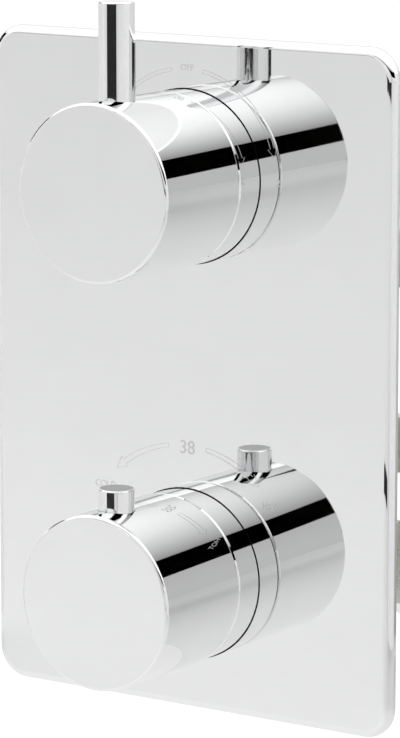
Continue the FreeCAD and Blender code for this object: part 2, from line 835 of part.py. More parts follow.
def make_cartridge_nut(name):
    """The hexagon-headed nut that clamps the cartridge's flange in the body's mouth."""
    thread = "mouth_radius - fit_gap * 2"
    bore = "nut_bore / 2"
    profile = [
        ("nut_shoulder", bore),
        ("nut_shoulder", thread),
        ("nut_back", thread),
        ("nut_back", bore),
    ]
    ring = turned(name + "_nut_ring", name, profile)
    front = ("0", "nut_front", name)
    head = hexagon(name + "_nut_head", "nut_hex", "nut_hex_length", front, "y")
    hole = rod(name + "_nut_hole", "nut_bore", "nut_hex_length", front, "y")
    keep(name + "_cartridge_nut", joined(name + "_nut", [ring, cut(name + "_nut_head", head, [hole])]))


def make_spindle(label, name, neck, tail):
    """A splined spindle that turns in its neck; tail holds the profile behind the neck."""
    spline = "spline_diameter / 2"
    spline_end = "spline_start + spline_length"
    core = "spline_diameter / 2 - spline_depth"
    places = [f"{neck} + 8", f"{neck} + 13"]
    groove = f"{neck} - 0.4"
    profile = [
        ("spline_start", "0"),
        ("spline_start", spline),
        (spline_end, spline),
        (spline_end, core),
        (f"{groove} - clip_thickness - 1", core),
        (f"{groove} - clip_thickness - 1", "spindle_radius"),
        (f"{groove} - clip_thickness", "spindle_radius"),
        (f"{groove} - clip_thickness", "spindle_radius - 0.8"),
        (groove, "spindle_radius - 0.8"),
        (groove, "spindle_radius"),
    ]
    profile = grooved(profile, places, "spindle_radius") + tail
    blank = turned(label + "_blank", name, profile)
    spindle = cut(label, blank, spline_grooves(name, "spline_start"))
    o_rings(label + "_seals", name, places, "spindle_radius", "neck_bore / 2")
    clip_front = f"{groove} - clip_thickness"
    inner, outer = "spindle_radius - 0.8", "spindle_radius + 2.4"
    clip = [(clip_front, inner), (clip_front, outer), (groove, outer), (groove, inner)]
    ring = turned(label + "_clip_ring", name, clip)
    mouth_middle = ("0", groove, f"{name} - spindle_radius - 2")
    gap = block(label + "_clip_gap", ("neck_bore * 0.6", "4", "neck_bore * 0.7"), mouth_middle)
    keep(label + "_clip", cut(label + "_clip", ring, [gap]))
    return spindle


# ---------------------------------------------------------------- thermostatic cartridge
def make_thermostat_housing():
    """The housing: neck, flange, three sealed lands, and the cold and hot inlet slots."""
    land = "thermo_radius"
    pit = "annulus_diameter / 2"
    corners = [("thermo_neck", "neck_bore / 2"), ("thermo_neck", "neck_diameter / 2")]
    corners += [("nut_back", "neck_diameter / 2"), ("nut_back", "flange_diameter / 2")]
    corners += [("seat", "flange_diameter / 2"), ("seat", land)]
    corners = grooved(corners, ["seat + seal_one"], land)
    for start, length, seal in (
        ("cold_annulus", "cold_annulus_length", "seal_two"),
        ("hot_annulus", "hot_annulus_length", "seal_three"),
    ):
        corners += [(f"seat + {start}", land), (f"seat + {start}", pit)]
        corners += [(f"seat + {start} + {length}", pit), (f"seat + {start} + {length}", land)]
        corners = grooved(corners, [f"seat + {seal}"], land)
    corners += [
        ("housing_end", land),
        ("housing_end", "slide_radius"),
        ("seat + cold_seat", "slide_radius"),
        ("seat + cold_seat", "drive_radius"),
        ("spindle_flange_start + spindle_flange_length + 0.3", "drive_radius"),
        ("spindle_flange_start + spindle_flange_length + 0.3", "spindle_flange / 2 + 0.5"),
        ("nut_back", "spindle_flange / 2 + 0.5"),
        ("nut_back", "neck_bore / 2"),
    ]
    blank = turned("thermostat_blank", "lower", corners)
    rows = int(number("slot_rows"))
    windows = []
    for index in range(rows):
        turn = FreeCAD.Rotation(Vector(0, 1, 0), 180 * index / rows)
        for row, start in (("cold", "seat + cold_seat"), ("hot", "base_front - slot_length")):
            window = doc.addObject("Part::Box", f"{row}_window_{index}")
            window.setExpression("Length", bound("slot_width"))
            window.setExpression("Width", bound("slot_length"))
            window.setExpression("Height", bound("annulus_diameter + 1"))
            side = turn.multVec(Vector(1, 0, 0))
            up = turn.multVec(Vector(0, 0, 1))
            half = "(annulus_diameter + 1) / 2"
            at = (
                f"-slot_width / 2 * {side.x:.6f} - {half} * {up.x:.6f}",
                start,
                f"lower - slot_width / 2 * {side.z:.6f} - {half} * {up.z:.6f}",
            )
            windows.append(place(window, at, turn))
    keyway_length = "cold_seat - flange_thickness"
    keyway = block(
        "drive_keyway",
        ("slide_bore - 0.2", keyway_length, "key_slot"),
        ("0", "seat + cold_seat - (cold_seat - flange_thickness) / 2", "lower"),
    )
    keep("thermostat_housing", cut("thermostat_housing", blank, windows + [keyway]))
    rings = [f"seat + {seal}" for seal in ("seal_one", "seal_two", "seal_three")]
    o_rings("thermostat_o_rings", "lower", rings, land, "thermo_bore / 2")


def make_thermostat_base():
    """The screwed base: hot seat in front, spring shoulder, mixed water holes behind."""
    skirt = "slide_radius - fit_gap"
    shoulder = "seat + spring_shoulder"
    profile = [
        ("base_front", "base_bore / 2"),
        ("base_front", skirt),
        ("housing_end", skirt),
        ("housing_end", "base_diameter / 2"),
        ("floor", "base_diameter / 2"),
        ("floor", "0"),
        ("floor - base_floor", "0"),
        ("floor - base_floor", "capsule_bore / 2"),
        (shoulder, "capsule_bore / 2"),
        (shoulder, "base_bore / 2"),
    ]
    blank = turned("thermostat_base_blank", "lower", profile)
    middle = "floor - base_floor - base_hole / 2 - 0.2"
    count = int(number("base_holes"))
    holes = spokes("mixed_hole", count, "base_hole", "4", "base_diameter / 2", middle, "lower")
    keep("thermostat_base", cut("thermostat_base", blank, holes))


def make_thermostat_spindle():
    thread = "drive_thread / 2"
    flange = "spindle_flange / 2"
    flange_end = "spindle_flange_start + spindle_flange_length"
    tail = [
        ("spindle_flange_start", "spindle_radius"),
        ("spindle_flange_start", flange),
        (flange_end, flange),
        (flange_end, thread),
        (f"{flange_end} + drive_thread_length", thread),
        (f"{flange_end} + drive_thread_length", "0"),
    ]
    spindle = make_spindle("thermostat_spindle", "lower", "thermo_neck", tail)
    keep("thermostat_spindle", spindle)


def make_drive():
    """The drive nut, which slides on keys, with the over-travel spring inside it."""
    bore = "drive_thread / 2 + running_gap"
    cup = "nut_outside - nut_wall"
    clip_back = "plunger_back + clip_thickness"
    groove = f"{cup} + 0.5"
    profile = [
        ("nut_begin", bore),
        ("nut_begin", "nut_outside"),
        ("nut_end", "nut_outside"),
        ("nut_end", cup),
        (clip_back, cup),
        (clip_back, groove),
        ("plunger_back", groove),
        ("plunger_back", cup),
        ("nut_cup", cup),
        ("nut_cup", bore),
    ]
    blank = turned("drive_nut_blank", "lower", profile)
    keys = block(
        "drive_keys",
        ("slide_bore - 0.8", "nut_key_length", "nut_key"),
        ("0", "nut_begin + 1 + nut_key_length / 2", "lower"),
    )
    inside = rod("drive_key_relief", "nut_outside * 2 - 1", "nut_length", ("0", "nut_begin", "lower"), "y")
    keep("drive_nut", joined("drive_nut_whole", [blank, cut("drive_key_pair", keys, [inside])]))

    rim = f"{cup} - 0.1"
    plunger = [
        ("plunger_front", "0"),
        ("plunger_front", rim),
        ("plunger_back", rim),
        ("plunger_back", "0"),
    ]
    keep("overtravel_plunger", turned("plunger_body", "lower", plunger))
    inner = f"{cup} - 1.4"
    clip = [("plunger_back", inner), ("plunger_back", groove), (clip_back, groove), (clip_back, inner)]
    clip_ring = turned("overtravel_clip_ring", "lower", clip)
    clip_gap = block("overtravel_clip_gap", ("3", "4", "6"), ("0", "plunger_back", f"lower - {cup}"))
    keep("overtravel_clip", cut("overtravel_clip", clip_ring, [clip_gap]))

    piston = ("0", "plunger_back", "lower")
    keep("wax_piston", rod("wax_piston_rod", "piston_diameter", "piston_length", piston, "y"))
    wire = number("overtravel_wire")
    length = number("plunger_front") - number("nut_cup")
    at = Vector(0, number("nut_cup"), number("lower"))
    coil("overtravel_spring", number(cup) - wire, wire, 2, length, at, ALONG["y"])


def make_shuttle():
    """The regulating slide and the wax element that pushes it against the return spring."""
    outside = "slide_radius - running_gap"
    inside = "slide_radius - shuttle_wall"
    web = "shuttle_front + 3"
    hub_front = "shuttle_front + 2"
    hub_back = "shuttle_front + 2 + shuttle_hub_length"
    bore = "element_diameter / 2"
    profile = [
        ("shuttle_front", inside),
        ("shuttle_front", outside),
        ("shuttle_back", outside),
        ("shuttle_back", inside),
        (f"{web} + shuttle_web", inside),
        (f"{web} + shuttle_web", "shuttle_hub / 2"),
        (hub_back, "shuttle_hub / 2"),
        (hub_back, bore),
        (hub_front, bore),
        (hub_front, "shuttle_hub / 2"),
        (web, "shuttle_hub / 2"),
        (web, inside),
    ]
    blank = turned("shuttle_blank", "lower", profile)
    ways = "(shuttle_hub / 2 + slide_radius - shuttle_wall) / 2"
    size = "slide_radius - shuttle_wall - shuttle_hub / 2 - 0.6"
    holes = ring_of_rods("shuttle_hole", 8, size, "4", ways, "shuttle_front + 2", "lower")
    keep("shuttle", cut("shuttle", blank, holes))

    collar = "element_collar / 2"
    guide = "element_guide / 2"
    piston = "piston_diameter / 2 + running_gap"
    capsule = "capsule_diameter / 2"
    capsule_end = "element_back + capsule_length"
    profile = [
        ("element_front - 1.3", piston),
        ("element_front - 1.3", guide),
        ("element_front", guide),
        ("element_front", bore),
        (hub_back, bore),
        (hub_back, collar),
        (f"{hub_back} + 1.5", collar),
        (f"{hub_back} + 1.5", bore),
        ("element_back", bore),
        ("element_back", capsule),
        (capsule_end, capsule),
        (capsule_end, "0"),
        ("plunger_back + piston_length + 1.2", "0"),
        ("plunger_back + piston_length + 1.2", piston),
    ]
    element = turned("wax_element_body", "lower", profile)
    keep("wax_element", round_edges(element, "Fillet", "1.5", circle_at(capsule_end, capsule)))

    wire = number("return_wire")
    start = number(f"{hub_back} + 1.5")
    length = number("seat + spring_shoulder") - start
    middle_radius = (number("return_diameter") - wire) / 2
    at = Vector(0, start, number("lower"))
    coil("return_spring", middle_radius, wire, 5, length, at, ALONG["y"])


def make_stop_ring():
    """The temperature stop ring on the cartridge's neck, with its inward lug."""
    rim = "stop_ring_diameter / 2"
    inside = "stop_ring_diameter / 2 - stop_ring_wall"
    neck = "neck_diameter / 2"
    profile = [
        ("stop_rim_front", inside),
        ("stop_rim_front", rim),
        ("stop_web_back", rim),
        ("stop_web_back", neck),
        ("stop_web_front", neck),
        ("stop_web_front", inside),
    ]
    ring = turned("stop_ring_blank", "lower", profile)
    turn = FreeCAD.Rotation(Vector(0, 1, 0), number("stop_angle"))
    lug = doc.addObject("Part::Box", "stop_lug_block")
    lug.setExpression("Length", bound("stop_lug_width"))
    lug.setExpression("Width", bound("stop_ring_rim"))
    lug.setExpression("Height", bound("stop_lug + 0.6"))
    along, up = turn.multVec(Vector(1, 0, 0)), turn.multVec(Vector(0, 0, 1))
    low = f"({inside} - stop_lug)"
    at = (
        f"{low} * {up.x:.6f} - stop_lug_width / 2 * {along.x:.6f}",
        "stop_rim_front",
        f"lower + {low} * {up.z:.6f} - stop_lug_width / 2 * {along.z:.6f}",
    )
    keep("stop_ring", joined("stop_ring_whole", [ring, place(lug, at, turn)]))


# ---------------------------------------------------------------- diverter cartridge
def make_diverter():
    """The ceramic disc cartridge: centre is off, and a quarter turn opens either outlet."""
    land = "diverter_radius"
    corners = [("diverter_neck", "neck_bore / 2"), ("diverter_neck", "neck_diameter / 2")]
    corners += [("nut_back", "neck_diameter / 2"), ("nut_back", "flange_diameter / 2")]
    corners += [("seat", "flange_diameter / 2"), ("seat", land)]
    corners = grooved(corners, ["seat + seal_one"], land)
    corners += [
        ("bonnet_end", land),
        ("bonnet_end", "disc_pocket"),
        ("cavity_start", "disc_pocket"),
        ("cavity_start", "neck_bore / 2"),
    ]
    keep("diverter_bonnet", turned("diverter_bonnet_body", "upper", corners))
    o_rings("diverter_o_ring", "upper", ["seat + seal_one"], land, "diverter_bore / 2")

    driver_front = "disc_front - driver_thickness"
    tail = [
        (driver_front, "spindle_radius"),
        (driver_front, "driver_diameter / 2"),
        ("disc_front", "driver_diameter / 2"),
        ("disc_front", "0"),
    ]
    spindle = make_spindle("diverter_spindle", "upper", "diverter_neck", tail)
    lug_middle = ("0", "disc_front + driver_lug_length / 2 - 0.5", "upper")
    lug_sizes = ("disc_diameter * 0.7", "driver_lug_length + 1", "driver_lug")
    lug = block("driver_lug_block", lug_sizes, lug_middle)
    keep("diverter_spindle", joined("diverter_spindle_whole", [spindle, lug]))

    disc_start = ("0", "disc_front", "upper")
    disc = rod("moving_disc_blank", "disc_diameter", "disc_thickness", disc_start, "y")
    slot_sizes = ("disc_diameter * 0.7 + 0.1", "driver_lug_length * 2 + 0.2", "driver_lug + 0.1")
    slot = block("moving_disc_slot", slot_sizes, disc_start)
    bay_start = ("0", "bonnet_end - 1.6", "upper")
    bay_round = rod("moving_disc_centre", "centre_port", "2", bay_start, "y")
    bay_middle = ("0", "bonnet_end - 0.6", "upper + port_pitch / 2")
    bay = block("moving_disc_bay", ("disc_port", "2", "port_pitch"), bay_middle)
    end_start = ("0", "bonnet_end - 1.6", "upper + port_pitch")
    bay_end = rod("moving_disc_bay_end", "disc_port", "2", end_start, "y")
    keep("moving_disc", cut("moving_disc", disc, [slot, bay_round, bay, bay_end]))

    plate_start = ("0", "bonnet_end", "upper")
    fixed = rod("fixed_disc_blank", "disc_pocket * 2 - 0.2", "disc_thickness", plate_start, "y")
    ports = port_rods("fixed_disc", "bonnet_end - 1", "disc_thickness + 2", "disc_port")
    keep("fixed_disc", cut("fixed_disc", fixed, ports))

    carrier = rod("carrier_blank", f"{land} * 2", "carrier_end - bonnet_end", plate_start, "y")
    pocket = rod("carrier_pocket", "disc_pocket * 2", "disc_thickness", plate_start, "y")
    back = "bonnet_end + disc_thickness"
    way_in = rod("carrier_inlet", "centre_port", "carrier_end - bonnet_end", plate_start, "y")
    tools = [pocket, way_in]
    for side, sign in (("left", -1), ("right", 1)):
        port = (f"{sign} * port_pitch", f"{back} - 1", "upper")
        tools.append(rod(f"carrier_{side}_port", "disc_port", "port_plane - bonnet_end - 3", port, "y"))
        window = (f"{sign} * (centre_port / 2 + 1.2)", "port_plane", "upper")
        tools.append(
            rod(f"carrier_{side}_window", "carrier_window", land, window, "x" if sign > 0 else "-x")
        )
    keep("diverter_carrier", cut("diverter_carrier", carrier, tools))

    seal_start = ("0", "carrier_end", "upper")
    seal = rod("carrier_seal_blank", f"{land} * 2 - 2", "seal_thickness", seal_start, "y")
    hole = rod("carrier_seal_hole", "centre_port + 1", "seal_thickness", seal_start, "y")
    keep("carrier_seal", cut("carrier_seal", seal, [hole]))


def port_rods(label, start, length, diameter):
    """The centre port and the two outlet ports of the discs."""
    rods = [rod(label + "_centre", "centre_port", length, ("0", start, "upper"), "y")]
    for side, sign in (("left", -1), ("right", 1)):
        at = (f"{sign} * port_pitch", start, "upper")
        rods.append(rod(f"{label}_{side}", diameter, length, at, "y"))
    return rods


# ---------------------------------------------------------------- cast body
def chamber(name):
    """One station's outside: threaded mouth, stop collar and rounded back."""
    outside = "mouth_outside"
    profile = [
        ("mouth", "0"),
        ("mouth", outside),
        ("seat", outside),
        ("seat", "body_collar / 2"),
        ("seat + collar_length", "body_collar / 2"),
        ("seat + collar_length", outside),
        ("0", outside),
        ("0", "0"),
    ]
    body = turned(name + "_chamber", name, profile)
    return round_edges(body, "Fillet", "back_edge", circle_at("0", outside))


def side_arm(name, side, sign):
    """A pipe connection: round boss out to a hexagon end."""
    axis = "x" if sign > 0 else "-x"
    start = (f"{sign} * mouth_radius / 2", "port_plane", name)
    arm = rod(f"{name}_{side}_arm", "port_boss", "port_face - mouth_radius / 2", start, axis)
    head_start = (f"{sign} * (port_face - port_hex_length)", "port_plane", name)
    head = hexagon(f"{name}_{side}_hex", "port_hex", "port_hex_length", head_start, axis)
    return [arm, head]


def arm_bores(name, side, sign, inner_end):
    axis = "x" if sign > 0 else "-x"
    thread = (f"{sign} * valve_start", "port_plane", name)
    bore = (f"{sign} * ({inner_end})", "port_plane", name)
    return [
        rod(f"{name}_{side}_thread", "pipe_thread", "pipe_thread_length + 1", thread, axis),
        rod(f"{name}_{side}_bore", "valve_bore", f"port_face - ({inner_end})", bore, axis),
    ]


def fixing_bar(label, height):
    """A cast bar across the back: rounded lugs, raised screw pads and a brace to the chamber."""
    flat = block(
        label + "_bar",
        ("bar_width - bar_height", "bar_thickness", "bar_height"),
        ("0", "-bar_thickness / 2", height),
    )
    ends = []
    for side, sign in (("left", -1), ("right", 1)):
        at = (f"{sign} * (bar_width - bar_height) / 2", "-bar_thickness", height)
        ends.append(rod(f"{label}_{side}_lug", "bar_height", "bar_thickness", at, "y"))
        pad_length = "bar_thickness + screw_pad_height"
        pad_start = (f"{sign} * screw_spacing / 2", f"-({pad_length})", height)
        ends.append(rod(f"{label}_{side}_pad", "screw_pad", pad_length, pad_start, "y"))
    rib_sizes = ("bar_width * 0.5", "rib_depth", "rib_thickness")
    rib = block(label + "_rib", rib_sizes, ("0", "-rib_depth / 2", height))
    return [flat, rib] + ends


def make_body():
    """The one-piece H-shaped casting with its chambers, riser, pipe ends and fixing lugs."""
    solids = [chamber("upper"), chamber("lower")]
    riser_start = ("0", "channel_axis", "lower")
    solids.append(rod("riser", "channel_diameter", "station_spacing", riser_start, "z"))
    tools = []
    for name in ("upper", "lower"):
        start = ("0", "mouth - 1", name)
        thread_length = "mouth_depth - seat_depth + 1"
        tools.append(rod(name + "_mouth_bore", "mouth_bore", thread_length, start, "y"))
        for side, sign in (("left", -1), ("right", 1)):
            solids += side_arm(name, side, sign)
            inner = "valve_bore_end" if name == "lower" else "diverter_bore / 4"
            tools += arm_bores(name, side, sign, inner)
    thermo_length = "seat_depth - floor_depth + 1"
    tools.append(rod("thermo_chamber", "thermo_bore", thermo_length, ("0", "seat - 1", "lower"), "y"))
    diverter_length = "seat_depth - diverter_floor + 1"
    tools.append(
        rod("diverter_chamber", "diverter_bore", diverter_length, ("0", "seat - 1", "upper"), "y")
    )
    for side, sign in (("left", -1), ("right", 1)):
        start = (f"{sign} * thermo_bore / 4", f"port_plane - {sign} * drill_offset", "lower")
        length = "valve_bore_end + 1 - thermo_bore / 4"
        tools.append(rod(f"{side}_chamber_drill", "chamber_drill", length, start, "x" if sign > 0 else "-x"))
    channel_start = ("0", "channel_axis", "lower + mouth_outside + 2")
    channel_length = "station_spacing - mouth_outside - 2 + centre_port / 2"
    tools.append(rod("riser_bore", "channel_bore", channel_length, channel_start, "z"))
    drill_start = ("0", "floor - channel_drill / 2 - 0.5", "lower + thermo_bore / 4")
    drill_length = "mouth_outside + 4 - thermo_bore / 4"
    tools.append(rod("riser_drill", "channel_drill", drill_length, drill_start, "z"))
    feed_start = ("0", "-diverter_floor - 1", "upper")
    feed_length = "diverter_floor - channel_depth + 1"
    tools.append(rod("diverter_feed", "centre_port + 1", feed_length, feed_start, "y"))
    for label, sign in (("upper_bar", 1), ("lower_bar", -1)):
        height = f"{sign} * bar_spacing / 2"
        solids += fixing_bar(label, height)
        for side, across in (("left", -1), ("right", 1)):
            depth = "bar_thickness + screw_pad_height"
            at = (f"{across} * screw_spacing / 2", f"-({depth}) - 1", height)
            tools.append(rod(f"{label}_{side}_hole", "screw_hole", f"{depth} + 2", at, "y"))
    keep("valve_body", cut("valve_body", joined("casting", solids), tools))


# ---------------------------------------------------------------- inlet check valves and filters
def make_check_valve(name, sign):
    """Housing with its seat, guide, sprung poppet, O-ring and inlet filter for one inlet."""
    hand = str(sign)

    def along(where):
        return f"{hand} * ({where})"

    outside = "valve_bore / 2 - fit_gap * 2"
    bore = "check_bore / 2"
    groove = "seat_face"
    bottom = f"{outside} - groove_depth"
    profile = [
        (along("check_front"), "check_seat / 2"),
        (along("check_front"), outside),
        (along(f"{groove} + groove_half - 1.4"), outside),
        (along(f"{groove} + groove_half - 1.4"), bottom),
        (along(f"{groove} - groove_half - 1.4"), bottom),
        (along(f"{groove} - groove_half - 1.4"), outside),
        (along("guide_front"), outside),
        (along("guide_front"), bore),
        (along("seat_face"), bore),
        (along("seat_face"), "check_seat / 2"),
    ]
    keep(name + "_check_housing", turned(name + "_check_body", "lower", profile, "port_plane"))
    ring = doc.addObject("Part::Torus", name + "_check_ring")
    section = f"(valve_bore / 2 - running_gap - ({bottom})) / 2"
    ring.setExpression("Radius2", bound(section))
    ring.setExpression("Radius1", bound(f"({bottom}) + {section}"))
    place(ring, (along("seat_face - 1.4"), "port_plane", "lower"), ALONG["x"])
    keep(name + "_check_o_ring", ring)

    profile = [
        (along("guide_front"), "poppet_stem / 2 + running_gap"),
        (along("guide_front"), outside),
        (along("check_back"), outside),
        (along("check_back"), "poppet_stem / 2 + running_gap"),
    ]
    guide = turned(name + "_guide_blank", "lower", profile, "port_plane")
    holes = []
    for index in range(4):
        angle = math.radians(45 + 90 * index)
        at = (
            along("check_back - 1") if sign > 0 else along("guide_front + 1"),
            f"port_plane + valve_bore * 0.29 * {math.sin(angle):.6f}",
            f"lower + valve_bore * 0.29 * {math.cos(angle):.6f}",
        )
        holes.append(rod(f"{name}_guide_hole_{index}", "guide_hole", "guide_length + 2", at, "x"))
    keep(name + "_check_guide", cut(name + "_check_guide", guide, holes))

    disc_back = "seat_face - poppet_thickness"
    stem = "poppet_stem / 2"
    profile = [
        (along("seat_face"), "0"),
        (along("seat_face"), "poppet_diameter / 2"),
        (along(disc_back), "poppet_diameter / 2"),
        (along(disc_back), stem),
        (along("check_back + 0.4"), stem),
        (along("check_back + 0.4"), "0"),
    ]
    keep(name + "_check_poppet", turned(name + "_poppet_body", "lower", profile, "port_plane"))

    wire = number("check_wire")
    length = number(disc_back) - number("guide_front")
    at = Vector(sign * number("guide_front"), number("port_plane"), number("lower"))
    middle_radius = (number("check_spring_diameter") - wire) / 2
    coil(name + "_check_spring", middle_radius, wire, 4, length, at, ALONG["x" if sign > 0 else "-x"])

    front = "valve_start"
    back = "valve_start - filter_thickness"
    start = (along(back) if sign > 0 else along(front), "port_plane", "lower")
    disc = rod(name + "_filter_blank", "valve_bore - fit_gap * 4", "filter_thickness", start, "x")
    count = int(number("filter_holes"))
    mesh = [rod(f"{name}_filter_middle", "filter_hole", "filter_thickness", start, "x")]
    for index in range(count):
        angle = 2 * math.pi * index / count
        pitch = "(valve_bore / 2 - filter_rim - filter_hole / 2)"
        at = (
            start[0],
            f"port_plane + {pitch} * {math.sin(angle):.6f}",
            f"lower + {pitch} * {math.cos(angle):.6f}",
        )
        mesh.append(rod(f"{name}_filter_hole_{index}", "filter_hole", "filter_thickness", at, "x"))
    keep(name + "_inlet_filter", cut(name + "_inlet_filter", disc, mesh))


# ---------------------------------------------------------------- build and export
make_plate()
make_plate_seals()
for station in ("upper", "lower"):
    make_sleeve(station)
    make_knob_fixings(station)
    make_cartridge_nut(station)
make_upper_knob()
make_lower_knob()
make_lever_pin()
make_override()
make_thermostat_housing()
make_thermostat_base()
make_thermostat_spindle()
make_drive()
make_shuttle()
make_stop_ring()
make_diverter()
make_body()
make_check_valve("hot", -1)
make_check_valve("cold", 1)
doc.recompute()

for item in doc.Objects:
    if "Invalid" in item.State or "Error" in item.State:
        raise RuntimeError(f"{item.Name} did not build: {item.State}")
os.makedirs("parts", exist_ok=True)
for label, item in nodes.items():
    shape = item.Shape
    if shape.isNull() or not shape.isValid() or not shape.Solids:
        raise RuntimeError(f"{label} has no valid shape")
    shape.exportStep(f"parts/{label}.step")
print(f"{len(nodes)} sub-parts written")
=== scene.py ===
import json
import math

import bpy
from mathutils import Matrix, Vector


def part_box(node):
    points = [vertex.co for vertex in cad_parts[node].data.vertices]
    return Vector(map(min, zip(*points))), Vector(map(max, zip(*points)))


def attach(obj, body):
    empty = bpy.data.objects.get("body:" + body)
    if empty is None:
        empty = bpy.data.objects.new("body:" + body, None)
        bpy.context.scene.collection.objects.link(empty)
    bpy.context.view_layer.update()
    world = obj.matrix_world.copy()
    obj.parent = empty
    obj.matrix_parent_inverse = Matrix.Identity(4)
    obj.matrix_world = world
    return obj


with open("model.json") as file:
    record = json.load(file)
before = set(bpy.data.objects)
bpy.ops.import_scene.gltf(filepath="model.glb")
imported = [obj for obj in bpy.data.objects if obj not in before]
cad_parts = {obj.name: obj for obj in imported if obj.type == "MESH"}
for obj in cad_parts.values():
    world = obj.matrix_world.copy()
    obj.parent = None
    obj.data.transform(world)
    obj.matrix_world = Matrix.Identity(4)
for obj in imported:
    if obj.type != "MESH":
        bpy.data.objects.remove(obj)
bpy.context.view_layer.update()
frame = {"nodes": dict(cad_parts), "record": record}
scene = bpy.context.scene

MM = 0.001
PLATE_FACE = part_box("wall_plate")[0][1]  # the plate's front, which faces -Y
UPPER = 62 * MM  # height of the upper control's axis
LOWER = -62 * MM
NOISE_LOW, NOISE_HIGH = 0.3, 0.7  # most of a noise texture's values lie between these
# A colour Mix node's sockets have the same names for every data type, so they are taken by number.
MIX_FIRST, MIX_SECOND, MIX_RESULT = 6, 7, 2
FLOAT_FIRST, FLOAT_SECOND = 2, 3


# ---------------------------------------------------------------- node helpers
class Shade:
    """A material's node tree, with short calls for the nodes used here."""

    def __init__(self, name):
        self.material = bpy.data.materials.new(name)
        self.material.use_nodes = True
        self.nodes = self.material.node_tree.nodes
        self.links = self.material.node_tree.links
        self.shader = self.nodes["Principled BSDF"]

    def new(self, kind, **settings):
        node = self.nodes.new(kind)
        for key, value in settings.items():
            setattr(node, key, value)
        return node

    def link(self, source, target):
        self.links.new(source, target)

    def place(self):
        """The place on the object, in metres."""
        return self.new("ShaderNodeTexCoord").outputs["Object"]

    def noise(self, scale, detail, roughness):
        node = self.new("ShaderNodeTexNoise")
        node.inputs["Scale"].default_value = scale
        node.inputs["Detail"].default_value = detail
        node.inputs["Roughness"].default_value = roughness
        self.link(self.place(), node.inputs["Vector"])
        return node.outputs["Fac"]

    def ramp(self, factor, *stops):
        """Colour ramp: stops are (position, colour) pairs."""
        node = self.new("ShaderNodeValToRGB")
        elements = node.color_ramp.elements
        while len(elements) > len(stops):
            elements.remove(elements[-1])
        while len(elements) < len(stops):
            elements.new(1.0)
        for element, (position, colour) in zip(elements, stops):
            element.position = position
            element.color = (*colour, 1)
        self.link(factor, node.inputs["Fac"])
        return node.outputs["Color"]

    def span(self, factor, low, high, start=0.0, end=1.0):
        node = self.new("ShaderNodeMapRange")
        node.inputs["From Min"].default_value = start
        node.inputs["From Max"].default_value = end
        node.inputs["To Min"].default_value = low
        node.inputs["To Max"].default_value = high
        self.link(factor, node.inputs["Value"])
        return node.outputs["Result"]

    def math(self, operation, first, second=None):
        node = self.new("ShaderNodeMath", operation=operation)
        for value, socket in ((first, node.inputs[0]), (second, node.inputs[1])):
            if isinstance(value, (int, float)):
                socket.default_value = value
            elif value is not None:
                self.link(value, socket)
        return node.outputs[0]

    def bump(self, height, strength, distance):
        node = self.new("ShaderNodeBump")
        node.inputs["Strength"].default_value = strength
        node.inputs["Distance"].default_value = distance
        self.link(height, node.inputs["Height"])
        self.link(node.outputs["Normal"], self.shader.inputs["Normal"])

    def colour(self, socket):
        self.link(socket, self.shader.inputs["Base Color"])

    def roughness(self, socket):
        self.link(socket, self.shader.inputs["Roughness"])

    def set(self, **values):
        for key, value in values.items():
            self.shader.inputs[key.replace("_", " ")].default_value = value


def grey(value):
    return (value, value, value)


def graded(tree, socket, stops):
    """Grey that runs in straight lines through (input value, brightness) pairs."""
    low, high = stops[0][0], stops[-1][0]
    spread = tree.nodes.new("ShaderNodeMapRange")
    spread.inputs["From Min"].default_value = low
    spread.inputs["From Max"].default_value = high
    tree.links.new(socket, spread.inputs["Value"])
    node = tree.nodes.new("ShaderNodeValToRGB")
    elements = node.color_ramp.elements
    while len(elements) < len(stops):
        elements.new(1.0)
    for element, (position, value) in zip(elements, stops):
        element.position = (position - low) / (high - low)
        element.color = (*grey(value), 1)
    tree.links.new(spread.outputs["Result"], node.inputs["Fac"])
    return node.outputs["Color"]


def blended(tree, operation, factor, first, second):
    """Two colours mixed or multiplied."""
    node = tree.nodes.new("ShaderNodeMix")
    node.data_type = "RGBA"
    node.blend_type = operation
    for value, place in ((factor, 0), (first, MIX_FIRST), (second, MIX_SECOND)):
        socket = node.inputs[place]
        if isinstance(value, float):
            socket.default_value = value
        else:
            tree.links.new(value, socket)
    return node.outputs[MIX_RESULT]


# ---------------------------------------------------------------- materials
def make_chrome():
    """Polished chrome plating: nearly a mirror, with a faint wipe haze."""
    shade = Shade("polished_chrome")
    haze = shade.noise(60, 4, 0.55)
    dark, light = (0.795, 0.797, 0.80), (0.81, 0.812, 0.815)
    shade.colour(shade.ramp(haze, (NOISE_LOW, dark), (NOISE_HIGH, light)))
    shade.roughness(shade.span(haze, 0.012, 0.035, NOISE_LOW, NOISE_HIGH))
    shade.set(Metallic=1.0)
    return shade.material


MACHINED_END = 49.8 * MM  # the pipe ends are bright beyond this distance from the middle
MACHINED_MOUTH = -49.9 * MM  # and the cartridge mouths in front of this depth


